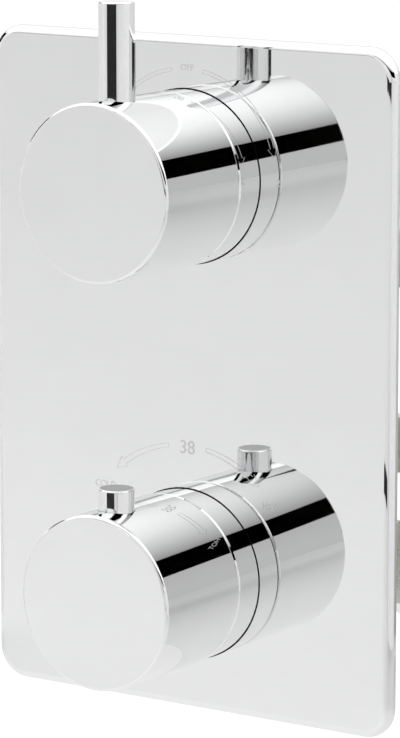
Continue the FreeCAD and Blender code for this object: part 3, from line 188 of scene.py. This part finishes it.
def make_cast_brass():
    """Sand-cast brass under dull nickel plating, bright where the ends and mouths are machined."""
    shade = Shade("plated_casting")
    split = shade.new("ShaderNodeSeparateXYZ")
    shade.link(shade.place(), split.inputs[0])
    side = shade.math("ABSOLUTE", split.outputs["X"])
    ends = shade.math("GREATER_THAN", side, MACHINED_END)
    mouth = shade.math("LESS_THAN", split.outputs["Y"], MACHINED_MOUTH)
    machined = shade.math("MAXIMUM", ends, mouth)
    grain = shade.noise(1400, 6, 0.65)
    stain = shade.noise(45, 5, 0.6)
    rough_colour = shade.ramp(
        stain, (0.3, (0.66, 0.63, 0.56)), (0.55, (0.73, 0.705, 0.64)), (0.75, (0.79, 0.77, 0.71))
    )
    bright = shade.ramp(grain, (0.35, (0.80, 0.78, 0.72)), (0.65, (0.86, 0.84, 0.79)))
    shade.colour(blended(shade.material.node_tree, "MIX", machined, rough_colour, bright))
    rough = shade.span(grain, 0.42, 0.66, NOISE_LOW, NOISE_HIGH)
    smooth = shade.span(grain, 0.18, 0.27, NOISE_LOW, NOISE_HIGH)
    choose = shade.new("ShaderNodeMix", data_type="FLOAT")
    shade.link(machined, choose.inputs["Factor"])
    shade.link(rough, choose.inputs[FLOAT_FIRST])
    shade.link(smooth, choose.inputs[FLOAT_SECOND])
    shade.roughness(choose.outputs[0])
    height = shade.math("MULTIPLY", grain, shade.math("SUBTRACT", 1.0, machined))
    shade.bump(height, 0.55, 0.00025)
    shade.set(Metallic=1.0)
    return shade.material


def make_turned(name, dark, light, roughness=(0.16, 0.26)):
    """Turned metal: fine tool marks that run round the Y axis."""
    shade = Shade(name)
    marks = shade.new("ShaderNodeTexWave", bands_direction="Y")
    marks.inputs["Scale"].default_value = 620
    marks.inputs["Distortion"].default_value = 0.6
    marks.inputs["Detail"].default_value = 2
    shade.link(shade.place(), marks.inputs["Vector"])
    patch = shade.noise(110, 4, 0.5)
    shade.colour(shade.ramp(patch, (NOISE_LOW, dark), (NOISE_HIGH, light)))
    blend = shade.math("ADD", marks.outputs["Fac"], patch)
    shade.roughness(shade.span(blend, *roughness, 0.2, 1.6))
    shade.bump(marks.outputs["Fac"], 0.12, 0.00003)
    shade.set(Metallic=1.0)
    return shade.material


def make_wire(name, dark, light):
    """Drawn spring wire with a light oil film."""
    shade = Shade(name)
    film = shade.noise(700, 4, 0.6)
    shade.colour(shade.ramp(film, (NOISE_LOW, dark), (NOISE_HIGH, light)))
    shade.roughness(shade.span(film, 0.2, 0.38, NOISE_LOW, NOISE_HIGH))
    shade.set(Metallic=1.0)
    return shade.material


def make_plastic(name, dark, light, roughness=(0.36, 0.48)):
    """Injection-moulded plastic with a fine eroded texture."""
    shade = Shade(name)
    flow = shade.noise(90, 3, 0.5)
    grain = shade.noise(4200, 2, 0.5)
    shade.colour(shade.ramp(flow, (NOISE_LOW, dark), (NOISE_HIGH, light)))
    shade.roughness(shade.span(grain, *roughness, NOISE_LOW, NOISE_HIGH))
    shade.bump(grain, 0.15, 0.00002)
    shade.set(IOR=1.5)
    return shade.material


def make_rubber():
    shade = Shade("moulded_rubber")
    bloom = shade.noise(260, 4, 0.6)
    shade.colour(shade.ramp(bloom, (0.3, grey(0.012)), (0.75, grey(0.035))))
    shade.roughness(shade.span(bloom, 0.5, 0.72, NOISE_LOW, NOISE_HIGH))
    shade.set(IOR=1.48)
    return shade.material


def make_foam():
    """Closed-cell foam strip."""
    shade = Shade("closed_cell_foam")
    cells = shade.new("ShaderNodeTexVoronoi")
    cells.inputs["Scale"].default_value = 1700
    shade.link(shade.place(), cells.inputs["Vector"])
    shade.colour(shade.ramp(cells.outputs["Distance"], (0.0, grey(0.05)), (0.7, grey(0.018))))
    shade.bump(cells.outputs["Distance"], 0.5, 0.0003)
    shade.roughness(shade.span(cells.outputs["Distance"], 0.8, 0.95))
    return shade.material


def make_ceramic(name, dark, light):
    """Lapped alumina disc."""
    shade = Shade(name)
    grain = shade.noise(2500, 4, 0.6)
    shade.colour(shade.ramp(grain, (NOISE_LOW, dark), (NOISE_HIGH, light)))
    shade.roughness(shade.span(grain, 0.1, 0.2, NOISE_LOW, NOISE_HIGH))
    shade.set(IOR=1.76)
    return shade.material


def make_etched():
    """The faint markings, etched dull into the chrome."""
    shade = Shade("etched_marking")
    grain = shade.noise(3000, 3, 0.6)
    shade.colour(shade.ramp(grain, (NOISE_LOW, grey(0.60)), (NOISE_HIGH, grey(0.66))))
    shade.roughness(shade.span(grain, 0.35, 0.5, NOISE_LOW, NOISE_HIGH))
    shade.set(Metallic=0.6)
    return shade.material


finishes = {
    "chrome": make_chrome(),
    "cast_brass": make_cast_brass(),
    "brass": make_turned("turned_brass", (0.70, 0.50, 0.22), (0.80, 0.61, 0.31)),
    "spring_steel": make_wire("spring_wire", (0.38, 0.385, 0.40), (0.55, 0.555, 0.56)),
    "steel": make_turned("turned_steel", (0.36, 0.365, 0.37), (0.50, 0.505, 0.51)),
    "copper": make_wire("drawn_copper", (0.62, 0.29, 0.17), (0.75, 0.42, 0.27)),
    "black_plastic": make_plastic("black_plastic", grey(0.012), grey(0.028)),
    "white_plastic": make_plastic("white_plastic", (0.72, 0.72, 0.68), (0.80, 0.80, 0.77)),
    "grey_plastic": make_plastic("grey_plastic", (0.20, 0.205, 0.215), (0.27, 0.275, 0.285)),
    "rubber": make_rubber(),
    "foam": make_foam(),
    "white_ceramic": make_ceramic("white_ceramic", (0.82, 0.80, 0.74), (0.89, 0.88, 0.84)),
    "grey_ceramic": make_ceramic("grey_ceramic", (0.07, 0.07, 0.075), (0.11, 0.11, 0.115)),
}
for entry in frame["record"]["subparts"]:
    node = frame["nodes"][entry["node"]]
    node.data.materials.clear()
    node.data.materials.append(finishes[entry["material_slot"]])


# ---------------------------------------------------------------- markings on the plate
etched = make_etched()
MARK_DEPTH = 0.03 * MM  # the markings stand this little in front of the plate
LINE_WIDTH = 0.17 * MM
ARROW_STEPS = 18
ARROW_TAIL = 0.75  # the shaft's width at the tail, as a share of its width at the head
ARROW_TIP = 5.2  # degrees from the head's corners to its tip


def finish_piece(thing, material, body):
    thing.data.materials.clear()
    thing.data.materials.append(material)
    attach(thing, body)
    return thing


def add_mesh(name, vertices, faces):
    mesh = bpy.data.meshes.new(name)
    mesh.from_pydata(vertices, [], faces)
    mesh.update()
    thing = bpy.data.objects.new(name, mesh)
    scene.collection.objects.link(thing)
    return thing


def on_plate(height, radius, angle):
    """A point on the plate, at a radius and clockwise angle from a control's 12 o'clock."""
    turn = math.radians(angle)
    across, up = radius * math.sin(turn), radius * math.cos(turn)
    return Vector((across, PLATE_FACE - MARK_DEPTH, height + up))


def closed_ribbon(name, points, width):
    """A flat line of constant width, through points on the plate and back to the first."""
    count = len(points)
    vertices = []
    for index, point in enumerate(points):
        along = (points[(index + 1) % count] - points[index - 1]).normalized()
        aside = Vector((along.z, 0, -along.x)) * width / 2
        vertices += [point - aside, point + aside]
    faces = []
    for index in range(count):
        a, b = 2 * index, 2 * ((index + 1) % count)
        faces.append((a, a + 1, b + 1, b))
    return finish_piece(add_mesh(name, vertices, faces), etched, "fixed")


def curved_arrow(name, height, radius, start, end, half=0.85, head=1.9):
    """The outline of an arrow that follows a circle round a control.

    Half is the shaft's half width where it meets the head, in mm, and head the head's."""

    def shaft_edge(side, steps_along):
        edge = []
        for index in steps_along:
            angle = start + (end - start) * index / ARROW_STEPS
            spread = half * MM * (ARROW_TAIL + (1 - ARROW_TAIL) * index / ARROW_STEPS)
            edge.append(on_plate(height, radius + side * spread, angle))
        return edge

    tip = end + math.copysign(ARROW_TIP, end - start)
    points = shaft_edge(1, range(ARROW_STEPS + 1))
    points.append(on_plate(height, radius + head * MM, end))
    points.append(on_plate(height, radius, tip))
    points.append(on_plate(height, radius - head * MM, end))
    points += shaft_edge(-1, range(ARROW_STEPS, -1, -1))
    return closed_ribbon(name, points, LINE_WIDTH)


def plate_text(name, text, size, height, radius, angle):
    """Upright text, centred at a place on the plate."""
    curve = bpy.data.curves.new(name, "FONT")
    curve.body = text
    curve.size = size
    curve.align_x = "CENTER"
    curve.align_y = "CENTER"
    curve.resolution_u = 6
    source = bpy.data.objects.new(name + "_source", curve)
    scene.collection.objects.link(source)
    bpy.context.view_layer.update()
    depsgraph = bpy.context.evaluated_depsgraph_get()
    mesh = bpy.data.meshes.new_from_object(source.evaluated_get(depsgraph))
    bpy.data.objects.remove(source)
    thing = bpy.data.objects.new(name, mesh)
    scene.collection.objects.link(thing)
    where = on_plate(height, radius, angle)
    mesh.transform(Matrix.Translation(where) @ Matrix.Rotation(math.pi / 2, 4, "X"))
    return finish_piece(thing, etched, "fixed")


plate_text("mark_38", "38", 6.0 * MM, LOWER, 39.6 * MM, 0)
plate_text("mark_cold", "COLD", 3.0 * MM, LOWER, 39.6 * MM, -51.5)
plate_text("mark_hot", "HOT", 3.0 * MM, LOWER, 39.6 * MM, 51.5)
curved_arrow("arrow_cold", LOWER, 40.4 * MM, -10, -36)
curved_arrow("arrow_hot", LOWER, 40.4 * MM, 10, 36)
plate_text("mark_off", "OFF", 2.8 * MM, UPPER, 33.2 * MM, 0)
plate_text("mark_left", "1", 3.4 * MM, UPPER, 33.3 * MM, -89.5)
plate_text("mark_right", "2", 3.4 * MM, UPPER, 33.3 * MM, 89.5)
curved_arrow("arrow_left", UPPER, 32.9 * MM, -10, -71, 0.7, 1.7)
curved_arrow("arrow_right", UPPER, 32.9 * MM, 10, 71, 0.7, 1.7)


# ---------------------------------------------------------------- stage
# Brightness of the tent by direction: OVERHEAD and HORIZON run along X, and RISE, which leads from
# the horizon's shades to those overhead, along Z.
TENT_STRENGTH = 1.6
OVERHEAD = [(-1, 0.95), (0.2, 0.9), (0.4, 0.42), (0.65, 0.40), (0.85, 0.7), (1, 0.7)]
HORIZON = [(-1, 0.62), (-0.5, 0.60), (0.2, 0.56), (0.5, 0.46), (0.62, 0.45), (0.8, 0.6), (1, 0.62)]
RISE = [(-1, 0), (0.12, 0), (0.34, 1), (1, 1)]


def end_tree(tree, unseen, seen, output_kind):
    """The camera's own rays get one shader, and all other rays the other."""
    path = tree.nodes.new("ShaderNodeLightPath")
    choose = tree.nodes.new("ShaderNodeMixShader")
    output = tree.nodes.new(output_kind)
    tree.links.new(path.outputs["Is Camera Ray"], choose.inputs["Fac"])
    tree.links.new(unseen.outputs[0], choose.inputs[1])
    tree.links.new(seen.outputs[0], choose.inputs[2])
    tree.links.new(choose.outputs[0], output.inputs["Surface"])


def environment():
    """A pale studio tent, brightest overhead on the left. The camera itself sees plain white."""
    world = bpy.data.worlds.new("studio")
    scene.world = world
    world.use_nodes = True
    tree = world.node_tree
    nodes, links = tree.nodes, tree.links
    nodes.clear()
    place = nodes.new("ShaderNodeTexCoord")
    split = nodes.new("ShaderNodeSeparateXYZ")
    links.new(place.outputs["Generated"], split.inputs[0])
    across, _, up = split.outputs
    overhead = graded(tree, across, OVERHEAD)
    horizon = graded(tree, across, HORIZON)
    light = blended(tree, "MIX", graded(tree, up, RISE), horizon, overhead)
    tent = nodes.new("ShaderNodeBackground")
    tent.inputs["Strength"].default_value = TENT_STRENGTH
    links.new(light, tent.inputs["Color"])
    white = nodes.new("ShaderNodeBackground")
    white.inputs["Color"].default_value = (1, 1, 1, 1)
    end_tree(tree, tent, white, "ShaderNodeOutputWorld")


def unseen_card(name, shades, low_edge, high_edge, axis=(0, 0, 1), glow=0.0):
    """A studio card between two edges: it shows in reflections, not in the camera's own view.

    Shades are (place along the axis, value) pairs. A card with a glow shines, the others are lit."""
    count = len(low_edge)
    faces = [(i, i + 1, count + i + 1, count + i) for i in range(count - 1)]
    card = add_mesh(name, low_edge + high_edge, faces)
    material = bpy.data.materials.new(name)
    material.use_nodes = True
    tree = material.node_tree
    nodes, links = tree.nodes, tree.links
    nodes.clear()
    place = nodes.new("ShaderNodeTexCoord")
    along = nodes.new("ShaderNodeVectorMath")
    along.operation = "DOT_PRODUCT"
    along.inputs[1].default_value = axis
    links.new(place.outputs["Object"], along.inputs[0])
    paint = nodes.new("ShaderNodeEmission" if glow else "ShaderNodeBsdfDiffuse")
    links.new(graded(tree, along.outputs["Value"], shades), paint.inputs["Color"])
    if glow:
        paint.inputs["Strength"].default_value = glow
    clear = nodes.new("ShaderNodeBsdfTransparent")
    end_tree(tree, paint, clear, "ShaderNodeOutputMaterial")
    card.data.materials.append(material)


def between(stops, place):
    """Straight-line interpolation through (place, value) pairs."""
    for (first, low), (last, high) in zip(stops, stops[1:]):
        if place <= last:
            share = max(0.0, (place - first) / (last - first))
            return low + (high - low) * share
    return stops[-1][1]


CARD_STEP = 3  # degrees that one face of a bent card covers
CARD_LEAST_STEPS = 8


def round_card(name, shades, distance, middle, first, last, low, high):
    """A card bent round the object from one azimuth to another.

    Azimuth 0 is straight ahead at -Y and 90 is +X. Low and high give the edges' heights as
    (azimuth, height) pairs."""
    rows = [[], []]
    steps = max(CARD_LEAST_STEPS, int((last - first) / CARD_STEP))
    for index in range(steps + 1):
        azimuth = first + (last - first) * index / steps
        turn = math.radians(azimuth)
        across, ahead = math.sin(turn) * distance, middle - math.cos(turn) * distance
        for row, edge in zip(rows, (low, high)):
            row.append((across, ahead, between(edge, azimuth)))
    unseen_card(name, shades, *rows)


FLOOR_LEVEL = -0.32
FLOOR_REACH = 8.0
FLOOR_LIFT = 0.35  # glow that only the camera's own view of the floor gets
# The floor's paint: a painted pool of light that fades with distance from its palest place, and a
# band of painted shade along a line across the right front.
FLOOR_POOL_MIDDLE = (0.05, -0.35, FLOOR_LEVEL)
FLOOR_LIGHT_POOL = [(0, 0.94), (0.5, 0.90), (0.85, 0.81), (1.4, 0.74), (2.6, 0.69), (4, 0.67), (8, 0.64)]
FLOOR_RIGHT_SHADE = [(-8, 1), (-0.9, 1), (-0.1, 0.98), (0.02, 0.92), (0.4, 0.88), (1.3, 1), (8, 1)]
FLOOR_SHADE_LINE = (0.819, 0.574, 0)


def make_floor():
    """A pale floor below the wall-hung part, with a painted pool of light round its middle and a
    band of painted shade across the right front.
    """
    signs = ((-1, -1), (1, -1), (1, 1), (-1, 1))
    corners = [(x * FLOOR_REACH, y * FLOOR_REACH, FLOOR_LEVEL) for x, y in signs]
    floor = add_mesh("floor", corners, [(0, 1, 2, 3)])
    shade = Shade("pale_floor")
    tree = shade.material.node_tree
    place = shade.place()
    away = shade.new("ShaderNodeVectorMath", operation="DISTANCE")
    away.inputs[1].default_value = FLOOR_POOL_MIDDLE
    shade.link(place, away.inputs[0])
    across = shade.new("ShaderNodeVectorMath", operation="DOT_PRODUCT")
    across.inputs[1].default_value = FLOOR_SHADE_LINE
    shade.link(place, across.inputs[0])
    # The floor's colour is its painted pool of light times its painted shade on the right front.
    spread = graded(tree, away.outputs["Value"], FLOOR_LIGHT_POOL)
    side = graded(tree, across.outputs["Value"], FLOOR_RIGHT_SHADE)
    paint = blended(tree, "MULTIPLY", 1.0, spread, side)
    speckle = shade.noise(30, 3, 0.5)
    tone = shade.ramp(speckle, (NOISE_LOW, grey(0.985)), (NOISE_HIGH, grey(1.0)))
    shade.colour(blended(tree, "MULTIPLY", 1.0, paint, tone))
    shade.roughness(shade.span(speckle, 0.75, 0.85))
    path = shade.new("ShaderNodeLightPath")
    lift = shade.math("MULTIPLY", path.outputs["Is Camera Ray"], FLOOR_LIFT)
    shade.link(lift, shade.shader.inputs["Emission Strength"])
    shade.shader.inputs["Emission Color"].default_value = (1, 1, 1, 1)
    floor.data.materials.append(shade.material)


def all_over(value):
    """The shades of a card that is the same all over."""
    return [(-1, value), (1, value)]


# The cards. The two pin bands are what the lever pin and the button show as a black line.
PIN_Y = -117 * MM  # the button's axis, and 1 mm in front of the lever pin's
BLACK = all_over(0.0)
PIN_BLACK = all_over(0.03)
SOFT_GREY = all_over(0.55)
PALE = all_over(0.95)
BACK_GREY = [(-0.32, 0.42), (-0.05, 0.75), (0.05, 0.9)]
# The ceiling card shines, and its shades run along a line to the back left.
CEILING = 0.45
CEILING_REACH = 1.2
CEILING_LINE = (-0.4226, 0.9063, 0)
CEILING_SHADES = [
    (-1.5, 0.2),
    (-0.99, 0.27),
    (-0.93, 0.34),
    (-0.81, 0.47),
    (-0.75, 0.56),
    (-0.69, 0.65),
    (-0.63, 0.77),
    (-0.57, 0.88),
    (-0.51, 0.95),
    (-0.45, 0.98),
    (0.1, 0.95),
    (0.33, 0.68),
    (0.5, 0.62),
    (1.6, 0.6),
]
# The dark ring gives both knobs their black stripe: its edges' heights by azimuth.
RING_LOW = [(-20, 0.36), (8, 0.37), (18.5, 0.327), (28, 0.262), (33, 0.230), (38, 0.197), (60, 0.18)]
RING_HIGH = [(-20, 0.45), (8, 0.45), (18.5, 0.444), (38, 0.425), (200, 0.42)]
environment()
make_floor()
round_card("dark_ring", BLACK, 0.9, PLATE_FACE, -20, 80, RING_LOW, RING_HIGH)
round_card("dark_left", BLACK, 0.9, PLATE_FACE, 250, 295, [(250, 0.18)], [(250, 0.42)])
round_card("grey_left", SOFT_GREY, 0.9, PLATE_FACE, 316, 336, [(316, 0.10)], [(316, 0.185)])
round_card("side_left", PALE, 1.0, PLATE_FACE, -112, -42, [(0, -0.31)], [(0, 0.12)])
round_card("side_right", PALE, 1.0, PLATE_FACE, 43, 122, [(0, -0.31)], [(0, 0.12)])
round_card("pin_band_upper", PIN_BLACK, 1.0, PIN_Y, -28, 33.5, [(0, -0.022)], [(0, 0.036)])
round_card("pin_band_lower", PIN_BLACK, 1.0, PIN_Y, -29, 22, [(0, -0.252)], [(0, -0.234)])
round_card("back_right", BACK_GREY, 1.0, PLATE_FACE, 130, 170, [(0, -0.31)], [(0, 0.05)])
unseen_card(
    "overhead",
    CEILING_SHADES,
    [(-CEILING_REACH, -CEILING_REACH, CEILING), (CEILING_REACH, -CEILING_REACH, CEILING)],
    [(-CEILING_REACH, CEILING_REACH, CEILING), (CEILING_REACH, CEILING_REACH, CEILING)],
    CEILING_LINE,
    TENT_STRENGTH,
)


# ---------------------------------------------------------------- camera
CAMERA_AZIMUTH = 34.404
CAMERA_ELEVATION = 10.149
CAMERA_DISTANCE = 1.22297
CAMERA_TARGET = Vector((4.808 * MM, PLATE_FACE, 2.843 * MM))
CAMERA_LENS = 194.46  # millimetres, as is the sensor's width
CAMERA_SENSOR = 36


def make_camera():
    """The photograph's view: from the right and a little above, through a long lens."""
    data = bpy.data.cameras.new("camera")
    camera = bpy.data.objects.new("camera", data)
    scene.collection.objects.link(camera)
    azimuth, elevation = math.radians(CAMERA_AZIMUTH), math.radians(CAMERA_ELEVATION)
    away = Vector(
        (
            math.sin(azimuth) * math.cos(elevation),
            -math.cos(azimuth) * math.cos(elevation),
            math.sin(elevation),
        )
    )
    camera.location = CAMERA_TARGET + away * CAMERA_DISTANCE
    camera.rotation_euler = (-away).to_track_quat("-Z", "Y").to_euler()
    data.sensor_width = CAMERA_SENSOR
    data.lens = CAMERA_LENS
    data.clip_end = 50
    scene.camera = camera


make_camera()
scene.view_settings.view_transform = "Standard"
